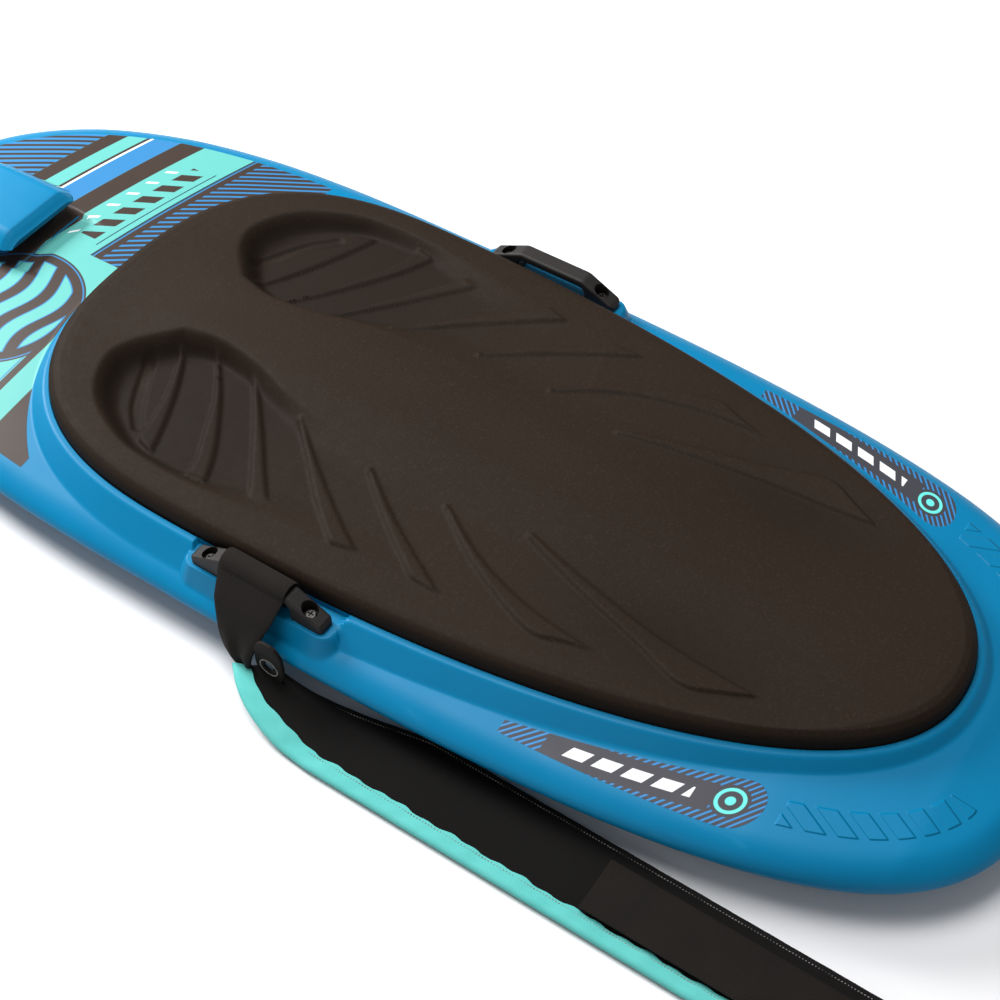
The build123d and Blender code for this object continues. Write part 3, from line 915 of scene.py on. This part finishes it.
def band(name, first, last, profile, material, node, pucker=0.0):
    """A long piece between two strap lines; profile gives (share across, height)."""
    left, right = strap_run(first), strap_run(last)
    sections = []
    for step, (a, b) in enumerate(zip(left, right)):
        wave = pucker * (math.sin(step * 1.1) + math.sin(step * 0.43 + 1)) / 2
        spread = 1 + 0.06 * wave
        swell = 0.35 * wave
        sections.append([(*(a + (b - a) * share * spread), height + lift(a[1]) + swell * (height > 3))
                         for share, height in profile])
    points, faces = tube(sections)
    obj = make(name, points, faces, material, "strap", 50)
    lengths = np.repeat(np.linspace(0, STRAP_LENGTH, len(left)), len(profile))
    sides = np.tile([share * 15 + height for share, height in profile], len(left))
    store(obj, run=lengths, side=sides)
    outward(obj)
    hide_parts(*node)
    return obj


def crowned(share, low, high, dip=0.0):
    """Height across a padded piece: full in the middle, pulled in at its seams."""
    return low + (high - low) * (1 - dip * abs(2 * share - 1) ** 3)


def strap():
    """Padded thigh strap: foam between two cloths, bound along both edges."""
    shares = np.linspace(0, 1, 15)
    base = [(s, 1.0 + 0.9 * abs(2 * s - 1) ** 3) for s in shares]
    facing = [(s, crowned(s, 6.2, 9.9, 0.65)) for s in shares]
    under = [(s, h) for s, h in reversed(base)]
    face = band("strap_facing_visual", OUTER_SEAM, INNER_SEAM, facing + [(s, h + 1.6) for s, h in under],
                FACING, ["strap_facing", "strap_foam"])
    back = band("strap_backing_visual", OUTER_SEAM, INNER_SEAM,
                [(s, h + 1.4) for s, h in base] + [(s, max(0.1, h - 0.9)) for s, h in under],
                BACKING, ["strap_backing"])
    for name, first, last, material, slot_name in (
            ("outer", OUTER_LINE, OUTER_SEAM, TEAL_TAPE, "light_binding"),
            ("inner", INNER_LINE, INNER_SEAM, BLACK_TAPE, "dark_binding")):
        profile = []
        for degrees in range(90, 271, 15):
            a = math.radians(degrees)
            profile.append((0.32 + 0.32 * math.cos(a), 4.6 + 3.9 * math.sin(a)))
        profile += [(1.08, 1.9), (1.1, 7.6)]
        tape = band(f"strap_{name}_binding_visual", first, last, profile, material,
                    [f"strap_{name}_binding"], pucker=1.0)
        stitches(f"strap_{name}_stitching", first, last, 0.86, 8.2 if name == "outer" else 8.0)


def stitches(name, first, last, share, height):
    """A row of short stitches along a strap line."""
    path = strap_run(first, 211)
    path = path + (strap_run(last, 211) - path) * share
    points, faces = [], []
    for a, b in zip(path[:-1], path[1:]):
        run = (b - a) * 0.62
        across = np.array([-run[1], run[0]]) / np.linalg.norm(run) * 0.35
        start = len(points)
        for spot, bulge in ((0, -0.5), (0.5, 0.35), (1, -0.5)):
            here = a + run * spot
            level = height + lift(a[1]) + bulge
            points += [(*(here - across), level - 0.2), (*here, level + 0.15),
                       (*(here + across), level - 0.2)]
        for k in (0, 3):
            faces += [(start + k, start + k + 1, start + k + 4, start + k + 3),
                      (start + k + 1, start + k + 2, start + k + 5, start + k + 4),
                      (start + k + 2, start + k, start + k + 3, start + k + 5)]
        faces += [(start, start + 2, start + 1), (start + 6, start + 7, start + 8)]
    obj = make(name, points, faces, THREAD, "strap")


def webbing_loop():
    """Webbing that wraps the left bracket's bar and gathers down to the padded strap."""
    arc = [(-BRACKET_X + LOOP_MIDDLE_R * math.cos(a), BAR_Z + LOOP_MIDDLE_R * math.sin(a))
           for a in np.linspace(math.radians(-155), math.radians(172), 40)]
    drop = curve([(-244.3, 92), (-251, 84), (-261, 72), (-268, 60), (-274, 48), (-278, 34), (-276, 18)], 46)
    path = np.vstack([arc, drop[1:]])
    run = np.concatenate([[0], np.cumsum(np.linalg.norm(np.diff(path, axis=0), axis=1))])
    start = run[len(arc) - 1]
    t = np.clip((run - start) / (run[-1] - start), 0, 1)
    stages = [0, 0.3, 0.62, 0.9, 1]
    half = np.interp(t, stages, [LOOP_HALF_WIDTH, 30, 20, 11, 9])
    middle = BRACKET_Y - np.interp(t, stages, [0, 1, 3, 7, 9])
    across = np.linspace(-1, 1, 41)
    tangent = np.gradient(path, axis=0)
    normal = np.column_stack([-tangent[:, 1], tangent[:, 0]])
    normal /= np.linalg.norm(normal, axis=1)[:, None]
    front, back = [], []
    for i in range(len(path)):
        gather = 1.8 * smooth((t[i] - 0.35) / 0.65)
        folds = gather * np.cos(across * math.pi * 1.6 + 0.6) * (1 - 0.35 * across ** 2)
        thick = WEBBING / 2 * (1 - 0.45 * np.abs(across) ** 16) + 0.8 * smooth(t[i])
        for rows, offset in ((front, folds + thick), (back, folds - thick)):
            rows.append(np.column_stack([path[i, 0] + normal[i, 0] * offset,
                                         middle[i] + across * half[i],
                                         path[i, 1] + normal[i, 1] * offset]))
    sections = [np.vstack([f, b[::-1]]) for f, b in zip(front, back)]
    points, faces = tube(sections)
    obj = make("strap_loop_visual", points, faces, BLACK_WEB, "strap", 55)
    both = np.concatenate([across, across[::-1]]) * LOOP_HALF_WIDTH
    store(obj, run=np.repeat(run, len(both)), side=np.tile(both, len(run)))
    outward(obj)
    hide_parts("strap_loop")


def pull_loop():
    """Grab loop: a folded tape plate with a stitched eye."""
    count = 96
    angles = np.arange(count) / count * 2 * math.pi
    across, along = np.cos(angles), np.sin(angles)
    outer = np.column_stack([15 * np.sign(across) * np.abs(across) ** 0.75,
                             25 * np.sign(along) * np.abs(along) ** 0.75])
    inner = np.column_stack([PULL_EYE_R * across, PULL_EYE_R * along - PULL_EYE_DROP])
    # Share of the way in to the eye, and half the thickness there, over one face and back over the other
    face = [(0, 1.5), (0.25, 1.9), (0.45, 1.2), (0.6, 2.0), (0.9, 1.9), (1, 1.2)]
    far_face = [(1, 1.2), (0.75, 1.9), (0.55, 1.2), (0.4, 2.0), (0.1, 1.9), (0, 1.5)]
    rows = []
    for side, steps in ((1, face), (-1, far_face)):
        for t, half_thick in steps:
            flat = outer * (1 - t) + inner * t
            rows.append(np.column_stack([np.full(count, PULL_LOOP[0] + side * half_thick),
                                         PULL_LOOP[1] + flat[:, 0], PULL_LOOP[2] + flat[:, 1]]))
    points = np.vstack(rows)
    faces = ring_faces(len(rows), count)
    last = (len(rows) - 1) * count
    faces += [(last + i, last + (i + 1) % count, (i + 1) % count, i) for i in range(count)]
    obj = make("pull_loop_visual", points, faces, BLACK_WEB, "strap", 50)
    store(obj, run=points[:, 2], side=points[:, 1])
    outward(obj)
    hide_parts("pull_loop")
    eye_stitching()


def eye_stitching():
    """A ring of 30 short stitches round the pull loop's eye."""
    points, faces = [], []
    for k in range(30):
        a = k / 30 * 2 * math.pi
        for raised in (2.35, 1.4):
            for turn, r in ((0, 9.0), (0.13, 9.0), (0.13, 9.7), (0, 9.7)):
                points.append((PULL_LOOP[0] - raised, PULL_LOOP[1] + r * math.cos(a + turn),
                               PULL_LOOP[2] - PULL_EYE_DROP + r * math.sin(a + turn)))
        s = k * 8
        faces += [(s, s + 1, s + 2, s + 3), (s + 7, s + 6, s + 5, s + 4)]
        faces += [(s + i, s + 4 + i, s + 4 + (i + 1) % 4, s + (i + 1) % 4) for i in range(4)]
    eye = make("pull_loop_stitching", points, faces, THREAD, "strap")
    outward(eye)


def tape(name, half_width, low, high, front, rear, material, body, node, slot_name, wave=0.25):
    """A flat strip along the board, with soft edges and a slight ripple."""
    ys = np.linspace(front, rear, 60)
    shares = np.linspace(-1, 1, 25)
    sections = []
    for y in ys:
        ripple = wave * (np.sin(y / 17) * 0.5 + 0.5)
        upper = [(FLAP_X + s * half_width, y, high - 0.35 * abs(s) ** 10 - ripple * (1 - s * s))
                 for s in shares]
        lower = [(FLAP_X + s * half_width, y, low + 0.3 * abs(s) ** 10) for s in reversed(shares)]
        sections.append(upper + lower)
    points, faces = tube(sections)
    obj = make(name, points, faces, material, body, 50)
    store(obj, run=points[:, 1], side=points[:, 0])
    outward(obj)
    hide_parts(node)


def closing_pieces():
    """Webbing tail, its hook and loop patches and the flap that folds over them."""
    top = STRAP_THICK
    fold = STRAP_END_Y
    patch_front = fold + FLAP_LENGTH - 10
    flap_low = top + 2 * PATCH + 0.3
    narrow = FLAP_HALF_WIDTH - 3
    tape("end_webbing_visual", FLAP_HALF_WIDTH, top, top + WEBBING, fold + 60, fold,
         BLACK_WEB, "strap", "end_webbing", "webbing")
    tape("loop_patch_visual", narrow, top, top + PATCH, patch_front, fold + 75,
         LOOP_PILE, "strap", "loop_patch", "loop_pile", 0.1)
    tape("hook_patch_visual", narrow, flap_low - PATCH, flap_low, patch_front, fold + 75,
         HOOK_PILE, "flap", "hook_patch", "hook_pile", 0.1)
    tape("closing_flap_visual", FLAP_HALF_WIDTH, flap_low, flap_low + WEBBING, fold + FLAP_LENGTH, fold,
         BLACK_WEB, "flap", "closing_flap", "webbing")


# ---------------------------------------------------------------- the carried-over parts

def dress(name, material):
    """Gives a CAD node its material."""
    mesh = nodes[name].data
    if not mesh.materials:
        mesh.materials.append(material)
    for slot_number in range(len(mesh.materials)):
        mesh.materials[slot_number] = material


def carried_over():
    """Materials for the nodes that keep their CAD shape."""
    dress("foam_core", CORE)
    dress("fill_plug", PLUG_PLASTIC)
    dress("plug_seal", RUBBER)
    for side in ("left", "right"):
        dress(f"strap_bracket_{side}", NYLON)
        dress(f"bracket_screws_{side}", STEEL)
        dress(f"bracket_inserts_{side}", BRASS)


# ---------------------------------------------------------------- stage, light and camera

FLOOR_HALF = 12000
FLOOR_Z = -0.5
WORLD_STRENGTH = 0.32
# Name, place, target and size, in metres, and watts
LIGHTS = (("key", (0.2, 2.3, 1.6), (0, 0, 0), (0.9, 0.8), 104),
          ("top", (0.1, 0.5, 2.8), (0, 0, 0), (1.8, 1.4), 86),
          ("side", (-2.4, -0.2, 1.1), (-0.1, 0, 0), (1.6, 0.5), 5))
LENS = 64.08
SENSOR = 36
CAMERA_PLACE = (-0.8885, -0.7046, 1.2881)
# The camera's right, up and backward directions
CAMERA_AXES = ((0.5559, -0.8313, 0), (0.6353, 0.4248, 0.6449), (-0.5361, -0.3585, 0.7643))


def floor():
    """Plain pale ground."""
    s = Surface("pale_floor", 0.9)
    s.colour(cloud(s, rgb(210, 210, 212), rgb(214, 214, 216), 1))
    corners = [(x * FLOOR_HALF, y * FLOOR_HALF, FLOOR_Z) for x, y in ((-1, -1), (1, -1), (1, 1), (-1, 1))]
    obj = make("floor", corners, [(0, 1, 2, 3)], s.material, None, None)


def area_light(name, place, target, size, watts):
    """A soft rectangular light, turned to its target."""
    light = bpy.data.lights.new(name, "AREA")
    light.shape = "RECTANGLE"
    light.size, light.size_y = size
    light.energy = watts
    obj = bpy.data.objects.new(name, light)
    obj.location = place
    obj.rotation_mode = "QUATERNION"
    obj.rotation_quaternion = (Vector(target) - Vector(place)).to_track_quat("-Z", "Y")
    bpy.context.scene.collection.objects.link(obj)


def studio():
    """Large soft lights and an even white surround, shown without a film curve."""
    bpy.context.scene.view_settings.view_transform = "Standard"
    world = bpy.data.worlds.new("studio")
    world.use_nodes = True
    background = world.node_tree.nodes["Background"]
    background.inputs[0].default_value = (1, 1, 1, 1)
    background.inputs[1].default_value = WORLD_STRENGTH
    bpy.context.scene.world = world
    for light in LIGHTS:
        area_light(*light)


def camera():
    """The photograph's viewing angle."""
    data = bpy.data.cameras.new("camera")
    data.lens = LENS
    data.sensor_width = SENSOR
    obj = bpy.data.objects.new("camera", data)
    turn = Matrix(CAMERA_AXES).transposed().to_4x4()
    obj.matrix_world = Matrix.Translation(CAMERA_PLACE) @ turn
    bpy.context.scene.collection.objects.link(obj)
    bpy.context.scene.camera = obj


hull()
knee_pad()
strap()
webbing_loop()
pull_loop()
closing_pieces()
carried_over()
floor()
studio()
camera()
